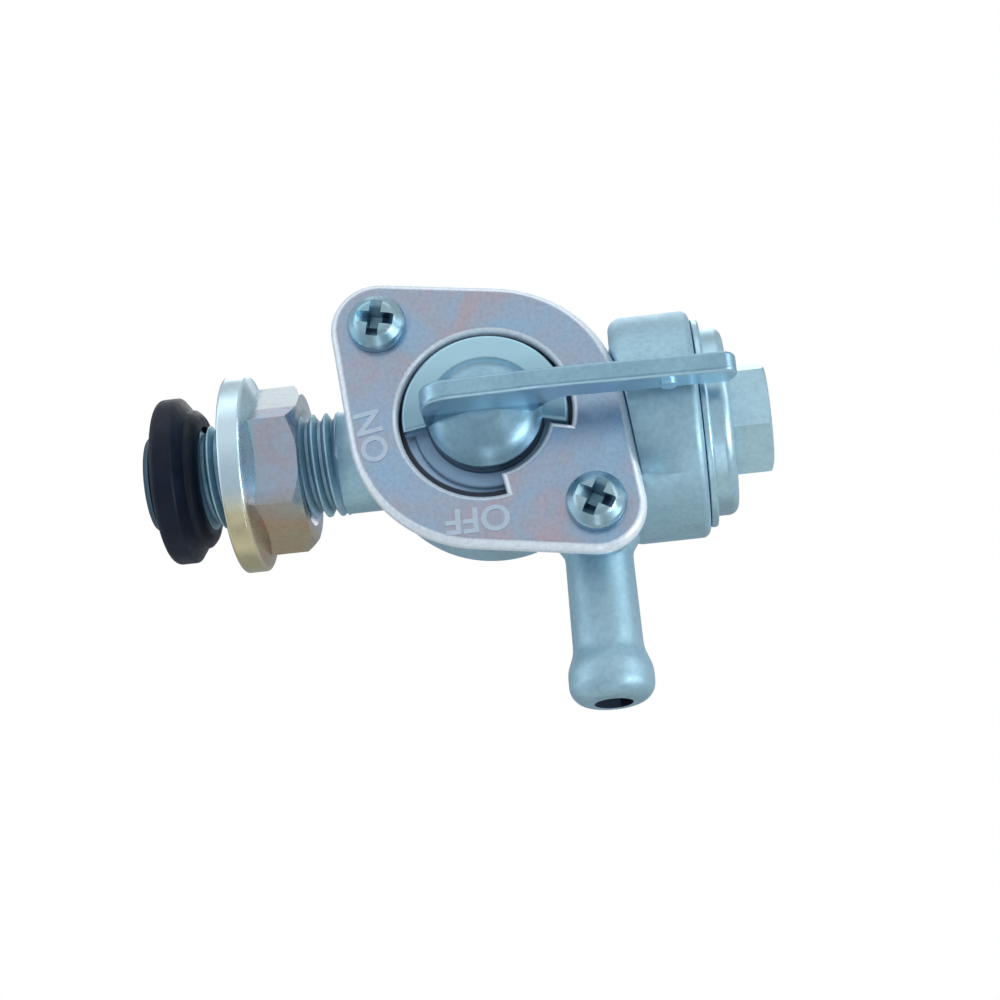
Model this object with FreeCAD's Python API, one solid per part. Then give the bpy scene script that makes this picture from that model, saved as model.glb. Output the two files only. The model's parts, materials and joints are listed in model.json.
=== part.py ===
import FreeCAD, Part
import math
import os

# Fuel tap for a small petrol tank: a die-cast body with a threaded inlet stem,
# a lever valve under a bolted cover plate, a screwed strainer bowl and a hose barb.
# Frame: the stem's axis is Z with the tank side up, and the origin lies on it
# at the rubber seal's tank face. The cover plate looks along -Y, the hose barb
# leaves along -X, and the lever at rest (open) points along -Z.
# All sizes are in millimetres.

# Inlet stem
thread_d = 10.0
stem_tip = 1.35
stem_tip_chamfer = 0.6
thread_len = 18.6
neck_step = 0.1
shoulder_rise = 5.0
shoulder_round = 3.0
stem_bore_d = 6.0
stem_bore_stop = 1.45
inlet_d = 3.2
inlet_past = 0.5

# Valve housing, its axis crosses the stem's
axis_drop = 31.75
housing_wall = 1.55
housing_back = 3.4
housing_round = 3.0
boss_wall = 1.9
boss_floor = 0.8
boss_round = 0.8

# Cover plate
plate_top = 8.8
plate_t = 1.2
plate_over = 1.6
plate_bead = 0.8
plate_relief = 0.15
lug_out = 0.82
lug_deg = 46.6
lug_r = 4.5
rotor_lap = 1.35
opening_bead = 0.6
stop_gap = 0.65
stop_from = -80.0
stop_to = -14.5

# Plate screws
screw_d = 3.0
screw_len = 5.0
screw_head_d = 5.5
screw_head_h = 2.0
screw_crown_d = 3.4
screw_crown_round = 1.0
screw_side_h = 0.9
screw_side_round = 0.8
screw_point = 0.4
screw_hole_clear = 0.15
screw_hole_spare = 0.4
recess_w = 1.1
recess_l = 3.9
recess_depth = 1.4
upper_cross_deg = 12.0
lower_cross_deg = 28.0

# Lever and rotor
lever_travel = 90.0
stop_clear = 1.2
rotor_r = 9.4
rotor_t = 1.4
rotor_foot = 0.4
core_step = 0.8
collar_clear = 0.4
collar_rise = 0.25
collar_root = 1.0
hub_r = 5.4
hub_rise = 2.9
hub_wall = 0.15
hub_round = 0.4
blade_t = 1.9
blade_h = 3.0
blade_reach = 23.0
blade_tail = 5.5
blade_top_root = 6.7
blade_top_tip = 5.8
blade_tail_drop = 0.2
blade_tail_round = 2.6
blade_back_round = 8.0
blade_tip_round = 1.3
blade_throat = 1.45
blade_throat_round = 3.0
blade_foot = 1.55
nub_d = 1.5
nub_rise = 0.35
nub_reach = 16.9
nub_drop = 1.35

# Wave washer and valve packing
washer_space = 0.9
washer_t = 0.3
washer_w = 1.0
washer_waves = 3
wave_point_count = 8
packing_rim = 0.6
packing_t = 1.8
port_d = 2.6
port_r = 4.6

# Drum that takes the bowl
drum_drop = 11.9
drum_rim = 1.1
drum_len = 7.7
drum_round = 1.3
drum_mouth_round = 0.85
drum_ceiling = 2.2
throat_r = 7.3
throat_fillet = 1.0

# Strainer bowl
bowl_thread_d = 17.0
bowl_top_gap = 0.35
bowl_flange_over = 0.2
bowl_flange_t = 0.75
bowl_flange_step = 1.0
bowl_len = 2.05
bowl_round = 1.0
bowl_wall = 2.0
bowl_floor = 1.0
bowl_floor_round = 0.6
bowl_hex_af = 9.7
bowl_hex_len = 3.7
bowl_hex_turn = 2.0
bowl_hex_chamfer = 0.45
bowl_hex_face = 1.0
sump_d = 6.0
sump_len = 1.6
ring_d = 1.1

# Strainer
strainer_clear = 1.2
strainer_disc_t = 0.8
strainer_drop = 1.0
strainer_foot = 1.0
rib_w = 0.9
rib_count = 4
rib_turn = 45.0
spigot_d = 5.0
spigot_len = 1.2
outlet_d = 3.4
gauze_t = 0.2

# Hose barb
barb_drop = 8.9
barb_d = 6.35
barb_neck_d = 6.55
barb_crest_d = 7.9
barb_crest_len = 1.3
barb_crest_round = 3.0
barb_flare = 1.8
barb_flare_round = 3.0
barb_len = 26.2
barb_nose_round = 1.8
barb_bore_d = 3.5
barb_root_round = 1.6

# Tank nut
nut_af = 14.0
nut_gap = 6.8
nut_flange_d = 19.0
nut_flange_t = 2.1
nut_cone_len = 1.1
nut_cone_inset = 0.3
nut_len = 7.05
nut_chamfer = 1.0
nut_bore_chamfer = 0.6
nut_turn = -13.0

# Tank seal
seal_rim_w = 2.95
seal_rim = 2.15
seal_back = 3.1
seal_step_w = 1.65
seal_len = 4.15
seal_round = 0.7
seal_lip_round = 1.1

# Clearances
slip = 0.05
seat_gap = 0.02
running = 0.15
recess_clear = 0.25

# Small edges
edge_round = 0.35
fine_round = 0.2
lead_in = 0.4
spare = 0.2
touch = 1e-4

# Radii about the lever axis, from the rotor in and out
recess_r = rotor_r + recess_clear
housing_r = recess_r + housing_wall
plate_r = housing_r + plate_over
lug_reach = plate_r + lug_out
lug_x = lug_reach * math.sin(math.radians(lug_deg))
lug_z = lug_reach * math.cos(math.radians(lug_deg))
opening_r = rotor_r - rotor_lap
collar_r = opening_r - collar_clear
core_r = collar_r - core_step
packing_r = port_r + port_d / 2 + packing_rim

# Depth of the screws' holes below the plate
screw_hole_depth = screw_len - plate_t + screw_hole_spare

# Radii about the bowl's axis, from its thread in and out
chamber_r = bowl_thread_d / 2 + slip
ring_seat_r = chamber_r + ring_d + slip
drum_r = ring_seat_r + drum_rim
bowl_flange_r = ring_seat_r + bowl_flange_over
bowl_r = bowl_flange_r - bowl_flange_step
bowl_inside_r = bowl_thread_d / 2 - bowl_wall
strainer_r = bowl_inside_r - strainer_clear

X = FreeCAD.Vector(1, 0, 0)
Y = FreeCAD.Vector(0, 1, 0)
Z = FreeCAD.Vector(0, 0, 1)

# Stations along the stem axis
lever_z = -axis_drop
shoulder_z = lever_z + shoulder_rise
drum_top_z = lever_z - drum_drop
mouth_z = drum_top_z - drum_len
ceiling_z = drum_top_z - drum_ceiling
barb_z = lever_z - barb_drop

# Stations along the lever axis, from the plate inwards
seat_y = -(plate_top - plate_t)
core_top_y = seat_y + running
rotor_top_y = seat_y + washer_space
rotor_bottom_y = rotor_top_y + rotor_t
recess_floor_y = rotor_bottom_y + running
foot_y = rotor_bottom_y + rotor_foot
packing_top_y = foot_y + seat_gap
packing_floor_y = packing_top_y + packing_t
lever_axis = FreeCAD.Vector(0, 0, lever_z)

# Stations along the bowl
flange_top_z = mouth_z - slip
bowl_top_z = ceiling_z - bowl_top_gap
flange_bottom_z = flange_top_z - bowl_flange_t
shell_bottom_z = flange_bottom_z - bowl_len
bowl_bottom_z = shell_bottom_z - bowl_hex_len
bowl_floor_z = shell_bottom_z + bowl_floor
ring_seat_z = mouth_z + ring_d


def rounded_wire(points, place):
    """Closed wire through (u, v, corner radius) points, mapped to space by place."""
    count = len(points)
    starts = []
    ends = []
    mids = []
    for i in range(count):
        u, v, radius = points[i]
        pu, pv = points[i - 1][0], points[i - 1][1]
        nu, nv = points[(i + 1) % count][0], points[(i + 1) % count][1]
        back = math.hypot(pu - u, pv - v)
        ahead = math.hypot(nu - u, nv - v)
        bu, bv = (pu - u) / back, (pv - v) / back
        au, av = (nu - u) / ahead, (nv - v) / ahead
        half = math.acos(max(-1.0, min(1.0, bu * au + bv * av))) / 2
        if radius <= 0 or half > math.radians(89.5):
            starts.append(place(u, v))
            ends.append(place(u, v))
            mids.append(None)
            continue
        reach = min(radius / math.tan(half), 0.48 * back, 0.48 * ahead)
        radius = reach * math.tan(half)
        mu, mv = bu + au, bv + av
        size = math.hypot(mu, mv)
        away = radius / math.sin(half) - radius
        starts.append(place(u + bu * reach, v + bv * reach))
        ends.append(place(u + au * reach, v + av * reach))
        mids.append(place(u + mu / size * away, v + mv / size * away))
    edges = []
    for i in range(count):
        if mids[i] is not None:
            edges.append(Part.Arc(starts[i], mids[i], ends[i]).toShape())
        following = starts[(i + 1) % count]
        if ends[i].distanceToPoint(following) > 1e-6:
            edges.append(Part.LineSegment(ends[i], following).toShape())
    return Part.Wire(edges)


def turned(points, origin, axis, radial):
    """Solid of revolution of (radius, station, corner radius) points about an axis."""
    wire = rounded_wire(points, lambda r, s: origin + radial * r + axis * s)
    return Part.Face(wire).revolve(origin, axis, 360)


def turned_z(points):
    return turned(points, FreeCAD.Vector(0, 0, 0), Z, X)


def turned_lever(points):
    return turned(points, lever_axis, Y, X)


def cylinder(radius, start, end):
    """Cylinder of a radius between two points."""
    along = end - start
    return Part.makeCylinder(radius, along.Length, start, along)


def at(x, y, z):
    return FreeCAD.Vector(x, y, z)


def around_lever(radius, angle_deg, y):
    """Point at an angle about the lever axis: 0 along -Z, 90 along +X."""
    angle = math.radians(angle_deg)
    return at(radius * math.sin(angle), y, lever_z - radius * math.cos(angle))


def sector(inner, outer, from_deg, to_deg, y_low, y_high):
    """Ring sector about the lever axis between two angles and two heights."""
    mid = (from_deg + to_deg) / 2
    edges = [
        Part.Arc(around_lever(outer, from_deg, y_low), around_lever(outer, mid, y_low),
                 around_lever(outer, to_deg, y_low)).toShape(),
        Part.LineSegment(around_lever(outer, to_deg, y_low),
                         around_lever(inner, to_deg, y_low)).toShape(),
        Part.Arc(around_lever(inner, to_deg, y_low), around_lever(inner, mid, y_low),
                 around_lever(inner, from_deg, y_low)).toShape(),
        Part.LineSegment(around_lever(inner, from_deg, y_low),
                         around_lever(outer, from_deg, y_low)).toShape(),
    ]
    return Part.Face(Part.Wire(edges)).extrude(Y * (y_high - y_low))


def hexagon(across_flats, z_low, z_high, turn_deg):
    """Hexagonal prism about Z with one flat facing -Y when not turned."""
    corner = across_flats / 2 / math.cos(math.radians(30))
    points = []
    for i in range(7):
        angle = math.radians(60 * i + turn_deg)
        points.append(at(-corner * math.cos(angle), -corner * math.sin(angle), z_low))
    return Part.Face(Part.makePolygon(points)).extrude(Z * (z_high - z_low))


def crowned_hexagon(across_flats, z_low, z_high, turn_deg, chamfer, face):
    """Hexagonal prism whose low corners are turned away, face in and chamfer up."""
    corner = across_flats / 2 / math.cos(math.radians(30))
    crown = turned_z([
        (0, z_high, 0),
        (corner + spare, z_high, 0),
        (corner + spare, z_low + chamfer, 0),
        (corner - face, z_low, 0),
        (0, z_low, 0),
    ])
    return hexagon(across_flats, z_low, z_high, turn_deg).common(crown)


def edges_at(shape, y):
    """Edges that lie in the plane at y."""
    found = []
    for edge in shape.Edges:
        box = edge.BoundBox
        if abs(box.YMax - y) < touch and box.YLength < touch:
            found.append(edge)
    return found


def reach_from_lever(edge):
    """Largest distance of an edge's ends from the lever axis."""
    return max(math.hypot(v.X, v.Z - lever_z) for v in edge.Vertexes)


def tap_body():
    thread_r = thread_d / 2
    neck_r = thread_r - neck_step
    thread_end_z = stem_tip - thread_len
    trunk = turned_z([
        (0, stem_tip, 0),
        (thread_r - stem_tip_chamfer, stem_tip, 0),
        (thread_r, stem_tip - stem_tip_chamfer, 0),
        (thread_r, thread_end_z, 0),
        (neck_r, thread_end_z - (thread_r - neck_r), 0),
        (neck_r, shoulder_z, shoulder_round),
        (throat_r, lever_z, shoulder_round),
        (throat_r, drum_top_z, throat_fillet),
        (drum_r, drum_top_z, drum_round),
        (drum_r, mouth_z, drum_mouth_round),
        (0, mouth_z, 0),
    ])
    housing = turned_lever([
        (0, seat_y, 0),
        (housing_r, seat_y, 0),
        (housing_r, housing_back, housing_round),
        (0, housing_back, 0),
    ])
    solid = trunk.fuse([housing, barb_outside()])
    boss_r = screw_d / 2 + boss_wall
    boss_depth = screw_hole_depth + boss_floor
    for side in (1, -1):
        boss = turned([
            (0, seat_y, 0),
            (boss_r, seat_y, 0),
            (boss_r, seat_y + boss_depth, boss_round),
            (0, seat_y + boss_depth, 0),
        ], at(side * lug_x, 0, lever_z + side * lug_z), Y, X)
        solid = solid.fuse(boss)
    solid = solid.cut(plate_seat())
    solid = solid.cut(valve_hollows())
    solid = solid.cut(bowl_hollows())
    for side in (1, -1):
        x, z = side * lug_x, lever_z + side * lug_z
        solid = solid.cut(cylinder(screw_d / 2, at(x, seat_y, z), at(x, seat_y + screw_hole_depth, z)))
    return solid.removeSplitter()


def barb_outside():
    """Hose barb along -X, its flared crest near the free end."""
    tube_r = barb_d / 2
    crest_r = barb_crest_d / 2
    root_x = housing_r
    crest_end = barb_len - barb_nose_round
    crest_start = crest_end - barb_crest_len
    nose_cut = barb_nose_round * math.tan(math.radians(22.5))
    return turned([
        (0, 0, 0),
        (tube_r + barb_root_round, 0, 0),
        (tube_r + barb_root_round, root_x - barb_root_round, 0),
        (tube_r, root_x + barb_root_round / 2, barb_root_round),
        (barb_neck_d / 2, crest_start - barb_flare, barb_flare_round),
        (crest_r, crest_start, barb_crest_round),
        (crest_r, crest_end + nose_cut, barb_nose_round),
        (crest_r - barb_nose_round + nose_cut, barb_len, barb_nose_round),
        (0, barb_len, 0),
    ], at(0, 0, barb_z), X * -1, Z)


def plate_seat():
    """Room for the cover plate where it lies across the drum's shoulder."""
    front_y = -(drum_r + spare)
    return Part.Face(plate_outline(front_y, plate_relief)).extrude(Y * (seat_y - front_y))


def valve_hollows():
    """Rotor recess, packing recess, ports and the stem's bore."""
    recess = turned_lever([
        (0, seat_y, 0),
        (recess_r, seat_y, 0),
        (recess_r, recess_floor_y, 0),
        (packing_r + slip, recess_floor_y, 0),
        (packing_r + slip, packing_floor_y, 0),
        (0, packing_floor_y, 0),
    ])
    bore_end_z = lever_z + recess_r + stem_bore_stop
    port_z = lever_z + port_r
    inlet_end_z = port_z - port_d / 2 - inlet_past
    stem_bore = turned_z([
        (0, stem_tip, 0),
        (stem_bore_d / 2, stem_tip, 0),
        (stem_bore_d / 2, bore_end_z, 0),
        (inlet_d / 2, bore_end_z - (stem_bore_d - inlet_d) / 2, 0),
        (inlet_d / 2, inlet_end_z, 0),
        (0, inlet_end_z, 0),
    ])
    inlet_port = cylinder(port_d / 2, at(0, packing_floor_y, port_z), at(0, 0, port_z))
    bowl_port = cylinder(port_d / 2, at(port_r, packing_floor_y, lever_z), at(port_r, 0, lever_z))
    passage = cylinder(port_d / 2, at(port_r, 0, lever_z), at(port_r, 0, ceiling_z))
    return recess.fuse([stem_bore, inlet_port, bowl_port, passage])


def bowl_hollows():
    """Bowl chamber with its ring seat, the outlet riser and the barb's bore."""
    chamber = turned_z([
        (0, ceiling_z, 0),
        (chamber_r, ceiling_z, 0),
        (chamber_r, ring_seat_z, 0),
        (ring_seat_r, ring_seat_z, 0),
        (ring_seat_r, mouth_z, 0),
        (0, mouth_z, 0),
    ])
    riser = cylinder(outlet_d / 2, at(0, 0, ceiling_z), at(0, 0, barb_z))
    socket = cylinder(spigot_d / 2 + slip, at(0, 0, ceiling_z), at(0, 0, ceiling_z + spigot_len + slip))
    bore = cylinder(barb_bore_d / 2, at(-barb_len, 0, barb_z), at(0, 0, barb_z))
    return chamber.fuse([riser, socket, bore])


def plate_outline(y, grow):
    """Circle about the lever axis with a rounded lug at each screw, all larger by grow."""
    round_r = plate_r + grow
    corner_r = lug_r + grow
    lean = 180 - lug_deg
    spread = math.degrees(math.acos((plate_r - lug_r) / lug_reach))
    edges = []
    for turn in (0, 180):
        a_in, a_out, a_mid = lean + turn - spread, lean + turn + spread, lean + turn
        centre = around_lever(lug_reach, a_mid, y) - lever_axis

        def on_lug(angle):
            return centre + around_lever(corner_r, angle, 0)

        edges.append(Part.LineSegment(around_lever(round_r, a_in, y), on_lug(a_in)).toShape())
        edges.append(Part.Arc(on_lug(a_in), on_lug(a_mid), on_lug(a_out)).toShape())
        edges.append(Part.LineSegment(on_lug(a_out), around_lever(round_r, a_out, y)).toShape())
        edges.append(Part.Arc(around_lever(round_r, a_out, y), around_lever(round_r, a_mid + 90, y),
                              around_lever(round_r, a_in + 180, y)).toShape())
    return Part.Wire(edges)


def cover_plate():
    blank = Part.Face(plate_outline(-plate_top, 0)).extrude(Y * plate_t)
    opening = cylinder(opening_r, at(0, -plate_top, lever_z), at(0, seat_y, lever_z))
    stop = sector(hub_r + stop_gap, opening_r + spare, stop_from, stop_to, -plate_top, seat_y)
    solid = blank.cut(opening.cut(stop))
    rim = [e for e in edges_at(solid, -plate_top) if reach_from_lever(e) > opening_r + touch]
    solid = solid.makeFillet(plate_bead, rim)
    rim = [e for e in edges_at(solid, -plate_top) if reach_from_lever(e) < opening_r + touch]
    solid = solid.makeFillet(opening_bead, rim)
    for side in (1, -1):
        x, z = side * lug_x, lever_z + side * lug_z
        hole_r = screw_d / 2 + screw_hole_clear
        solid = solid.cut(cylinder(hole_r, at(x, -plate_top, z), at(x, seat_y, z)))
    return solid


def plate_screw(side, cross_deg):
    """Pan head screw through the plate, side 1 for the upper lug and -1 for the lower."""
    x, z = side * lug_x, lever_z + side * lug_z
    base = at(x, 0, z)
    head_r = screw_head_d / 2
    shank_r = screw_d / 2 - slip
    head_y = -plate_top - seat_gap
    solid = turned([
        (0, head_y - screw_head_h, 0),
        (screw_crown_d / 2, head_y - screw_head_h, screw_crown_round),
        (head_r, head_y - screw_side_h, screw_side_round),
        (head_r, head_y, fine_round),
        (shank_r, head_y, 0),
        (shank_r, head_y + screw_len - screw_point, 0),
        (shank_r - screw_point, head_y + screw_len, 0),
        (0, head_y + screw_len, 0),
    ], base, Y, X)
    top_y = head_y - screw_head_h
    for turn in (0, 90):
        arm = Part.makePolygon([
            at(-recess_l / 2, top_y, 0), at(recess_l / 2, top_y, 0),
            at(recess_w / 2, top_y + recess_depth, 0), at(-recess_w / 2, top_y + recess_depth, 0),
            at(-recess_l / 2, top_y, 0),
        ])
        cutter = Part.Face(arm).extrude(Z * recess_w)
        cutter.translate(at(x, 0, z - recess_w / 2))
        cutter.rotate(base, Y, cross_deg + turn)
        solid = solid.cut(cutter)
    return solid


def lever():
    """Rotor, stop collar, hub and blade, cast as one piece."""
    rotor = turned_lever([
        (0, core_top_y, 0),
        (core_r, core_top_y, edge_round),
        (core_r, rotor_top_y, 0),
        (rotor_r, rotor_top_y, 0),
        (rotor_r, rotor_bottom_y, 0),
        (packing_r - running, rotor_bottom_y, 0),
        (packing_r - running, foot_y, 0),
        (0, foot_y, 0),
    ])
    collar_from = stop_to + stop_clear
    collar_to = 360 + stop_from - lever_travel - stop_clear
    collar_y = -plate_top - collar_rise
    collar = sector(hub_r - collar_root, collar_r, collar_from, collar_to, collar_y, core_top_y)
    collar = collar.makeFillet(edge_round, edges_at(collar, collar_y))
    solid = rotor.fuse([hub(), collar, blade(), nub()])
    return solid.cut(rotor_groove()).removeSplitter()


def hub():
    """Domed hub: two arcs of one radius that rise from its short wall."""
    top_y = -plate_top - hub_rise
    rim_y = -plate_top - hub_wall
    height = hub_rise - hub_wall
    dome_r = (hub_r ** 2 + height ** 2) / (2 * height)
    quarter = math.asin(hub_r / dome_r) / 4
    corner_r = dome_r / math.cos(quarter)
    return turned_lever([
        (0, top_y, 0),
        (corner_r * math.sin(quarter), top_y, dome_r),
        (corner_r * math.sin(3 * quarter), top_y + dome_r - corner_r * math.cos(3 * quarter), dome_r),
        (hub_r, rim_y, hub_round),
        (hub_r, core_top_y, 0),
        (0, core_top_y, 0),
    ])


def blade():
    """Upright blade across the hub, its side face in the plane of the lever axis."""
    foot_top_y = -plate_top - collar_rise / 2
    tail_z = lever_z + blade_tail
    tip_z = lever_z - blade_reach
    hub_edge_z = lever_z - hub_r
    root_y = -plate_top - blade_top_root
    tip_y = -plate_top - blade_top_tip
    wire = rounded_wire([
        (tail_z, foot_top_y, 0),
        (tail_z, root_y + blade_tail_drop, blade_tail_round),
        (hub_edge_z, root_y, blade_back_round),
        (tip_z, tip_y, blade_tip_round),
        (tip_z, tip_y + blade_h, blade_tip_round),
        (hub_edge_z - blade_throat, root_y + blade_h, blade_throat_round),
        (hub_edge_z + blade_foot, foot_top_y, 0),
    ], lambda z, y: at(-blade_t / 2, y, z))
    solid = Part.Face(wire).extrude(X * blade_t)
    top = [e for e in solid.Edges if e.BoundBox.XLength < touch and e.BoundBox.YMin < tip_y + blade_tip_round]
    return solid.makeFillet(edge_round, top)


def nub():
    """Small round mark on the blade's side."""
    z = lever_z - nub_reach
    y = -plate_top - blade_top_tip + nub_drop
    return cylinder(nub_d / 2, at(0, y, z), at(-blade_t / 2 - nub_rise, y, z))


def rotor_groove():
    """Curved groove in the rotor's face that joins the two ports when open."""
    middle = sector(port_r - port_d / 2, port_r + port_d / 2, 90, 180, foot_y - rotor_t, foot_y)
    ends = []
    for angle in (90, 180):
        ends.append(cylinder(port_d / 2, around_lever(port_r, angle, foot_y - rotor_t),
                             around_lever(port_r, angle, foot_y)))
    return middle.fuse(ends)


def wave_washer():
    """Thin ring bent in waves between the rotor and the plate."""
    inner = opening_r + slip
    outer = inner + washer_w
    low = rotor_top_y - seat_gap - washer_t
    swing = (washer_space - washer_t - 2 * seat_gap) / 2

    def ring(radius, lift):
        steps = washer_waves * wave_point_count
        points = []
        for i in range(steps):
            angle = 360 * i / steps
            wave = swing * (1 - math.cos(math.radians(washer_waves * angle)))
            points.append(around_lever(radius, angle, low + lift - wave))
        curve = Part.BSplineCurve()
        curve.interpolate(Points=points, PeriodicFlag=True)
        return curve.toShape()

    inner_low, inner_high = ring(inner, washer_t), ring(inner, 0)
    outer_low, outer_high = ring(outer, washer_t), ring(outer, 0)
    faces = [
        Part.makeRuledSurface(inner_low, outer_low),
        Part.makeRuledSurface(inner_high, outer_high),
        Part.makeRuledSurface(inner_low, inner_high),
        Part.makeRuledSurface(outer_low, outer_high),
    ]
    solid = Part.Solid(Part.Shell(faces))
    if solid.Volume < 0:
        solid.reverse()
    return solid


def valve_packing():
    """Rubber disc with a hole over each port."""
    solid = cylinder(packing_r, at(0, packing_top_y, lever_z), at(0, packing_floor_y, lever_z))
    for angle in (90, 180):
        solid = solid.cut(cylinder(port_d / 2, around_lever(port_r, angle, packing_top_y),
                                   around_lever(port_r, angle, packing_floor_y)))
    return solid


def strainer_bowl():
    thread_r = bowl_thread_d / 2
    shell = turned_z([
        (bowl_inside_r, bowl_top_z, 0),
        (thread_r - lead_in, bowl_top_z, 0),
        (thread_r, bowl_top_z - lead_in, 0),
        (thread_r, flange_top_z, 0),
        (bowl_flange_r, flange_top_z, fine_round),
        (bowl_flange_r, flange_bottom_z, edge_round),
        (bowl_r, flange_bottom_z, 0),
        (bowl_r, shell_bottom_z, bowl_round),
        (0, shell_bottom_z, 0),
        (0, bowl_floor_z, 0),
        (bowl_inside_r, bowl_floor_z, bowl_floor_round),
    ])
    head = crowned_hexagon(bowl_hex_af, bowl_bottom_z, bowl_floor_z, bowl_hex_turn,
                           bowl_hex_chamfer, bowl_hex_face)
    sump = cylinder(sump_d / 2, at(0, 0, bowl_floor_z), at(0, 0, bowl_floor_z - sump_len))
    return shell.fuse(head).cut(sump).removeSplitter()


def bowl_o_ring():
    centre_r = chamber_r + ring_d / 2
    centre_z = flange_top_z + seat_gap + ring_d / 2
    return Part.makeTorus(centre_r, ring_d / 2, at(0, 0, centre_z))


def strainer_levels():
    """Top and bottom faces of the strainer's two discs."""
    top = ceiling_z - strainer_drop
    foot = bowl_floor_z + seat_gap
    return top, top - strainer_disc_t, foot + strainer_foot + strainer_disc_t, foot + strainer_foot


def strainer_frame():
    """Moulded cage: spigot, two discs, ribs between them and feet below."""
    top, top_under, low_over, low = strainer_levels()
    foot = bowl_floor_z + seat_gap
    upper = cylinder(strainer_r, at(0, 0, top_under), at(0, 0, top))
    spigot = cylinder(spigot_d / 2, at(0, 0, top), at(0, 0, ceiling_z + spigot_len))
    lower = cylinder(strainer_r, at(0, 0, low), at(0, 0, low_over))
    solid = upper.fuse([spigot, lower])
    rib_in = strainer_r - rib_w
    for i in range(rib_count):
        rib = Part.makeBox(rib_w, rib_w, top_under - foot, at(rib_in, -rib_w / 2, foot))
        rib.rotate(at(0, 0, 0), Z, 360 * i / rib_count + rib_turn)
        solid = solid.fuse(rib.common(cylinder(strainer_r, at(0, 0, foot), at(0, 0, top))))
    bore = cylinder(outlet_d / 2, at(0, 0, top_under), at(0, 0, ceiling_z + spigot_len))
    return solid.cut(bore).removeSplitter()


def strainer_gauze():
    """Fine gauze sleeve inside the cage's ribs."""
    top, top_under, low_over, low = strainer_levels()
    outer = strainer_r - rib_w
    sleeve = cylinder(outer, at(0, 0, low_over), at(0, 0, top_under))
    return sleeve.cut(cylinder(outer - gauze_t, at(0, 0, low_over), at(0, 0, top_under)))


def tank_nut():
    flange_r = nut_flange_d / 2
    top = -nut_gap
    bottom = top - nut_len
    cone_low = top - nut_flange_t - nut_cone_len
    flange = turned_z([
        (0, top, 0),
        (flange_r, top, edge_round),
        (flange_r, top - nut_flange_t, edge_round),
        (nut_af / 2 - nut_cone_inset, cone_low, 0),
        (0, cone_low, 0),
    ])
    bore_r = thread_d / 2 + slip
    bore = turned_z([
        (0, top, 0),
        (bore_r + nut_bore_chamfer, top, 0),
        (bore_r, top - nut_bore_chamfer, 0),
        (bore_r, bottom + nut_bore_chamfer, 0),
        (bore_r + nut_bore_chamfer, bottom, 0),
        (0, bottom, 0),
    ])
    hexagonal = crowned_hexagon(nut_af, bottom, top, nut_turn, nut_chamfer, nut_chamfer)
    return flange.fuse(hexagonal).cut(bore).removeSplitter()


def tank_seal():
    """Stepped rubber ring on the stem."""
    bore_r = thread_d / 2 + slip
    rim_r = bore_r + seal_rim_w
    step_r = bore_r + seal_step_w
    lip_cut = seal_lip_round - seal_lip_round * math.tan(math.radians(22.5))
    return turned_z([
        (bore_r, 0, 0),
        (rim_r, 0, seal_round),
        (rim_r, -seal_rim, seal_round / 2),
        (step_r, -seal_back, fine_round),
        (step_r, -seal_len + lip_cut, seal_lip_round),
        (step_r - lip_cut, -seal_len, seal_lip_round),
        (bore_r, -seal_len, 0),
    ])


def main():
    os.makedirs("parts", exist_ok=True)
    nodes = {
        "tap_body": tap_body(),
        "cover_plate": cover_plate(),
        "plate_screw_upper": plate_screw(1, upper_cross_deg),
        "plate_screw_lower": plate_screw(-1, lower_cross_deg),
        "lever": lever(),
        "wave_washer": wave_washer(),
        "valve_packing": valve_packing(),
        "strainer_bowl": strainer_bowl(),
        "bowl_o_ring": bowl_o_ring(),
        "strainer_frame": strainer_frame(),
        "strainer_gauze": strainer_gauze(),
        "tank_nut": tank_nut(),
        "tank_seal": tank_seal(),
    }
    for name, shape in nodes.items():
        shape.exportStep("parts/" + name + ".step")
        print(name, "solids", len(shape.Solids), "valid", shape.isValid(), "mm3", round(shape.Volume, 1))


main()
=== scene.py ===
import json
import math

import bmesh
import bpy
from mathutils import Matrix, Vector


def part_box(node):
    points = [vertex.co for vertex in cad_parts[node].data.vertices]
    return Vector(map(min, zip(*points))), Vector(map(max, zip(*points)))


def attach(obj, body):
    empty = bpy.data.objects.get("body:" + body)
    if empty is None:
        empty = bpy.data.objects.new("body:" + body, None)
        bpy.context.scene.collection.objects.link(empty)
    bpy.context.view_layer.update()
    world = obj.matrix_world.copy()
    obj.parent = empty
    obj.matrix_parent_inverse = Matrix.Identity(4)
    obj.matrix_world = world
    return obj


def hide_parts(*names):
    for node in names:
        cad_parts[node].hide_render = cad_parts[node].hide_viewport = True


# Fuel tap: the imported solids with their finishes, a cut thread on the stem,
# raised lettering on the cover plate, a pale floor, soft light and the camera.

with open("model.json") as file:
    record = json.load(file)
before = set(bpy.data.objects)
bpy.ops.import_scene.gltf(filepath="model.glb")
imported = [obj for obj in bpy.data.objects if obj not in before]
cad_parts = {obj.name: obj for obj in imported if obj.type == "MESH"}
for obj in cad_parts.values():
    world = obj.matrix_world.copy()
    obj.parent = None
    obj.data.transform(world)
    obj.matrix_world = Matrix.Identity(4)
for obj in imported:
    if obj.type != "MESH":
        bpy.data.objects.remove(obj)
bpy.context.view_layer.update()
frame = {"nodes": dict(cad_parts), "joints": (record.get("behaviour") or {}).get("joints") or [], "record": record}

MM = 0.001

# Stem thread, M10 with a pitch of 1.25 mm, right-handed
PITCH = 1.25 * MM
THREAD_DEPTH = 0.68 * MM
START_FADE = 0.6 * PITCH
END_FADE = 0.45 * PITCH
THREAD_SMOOTH_DEG = 28.0

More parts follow.
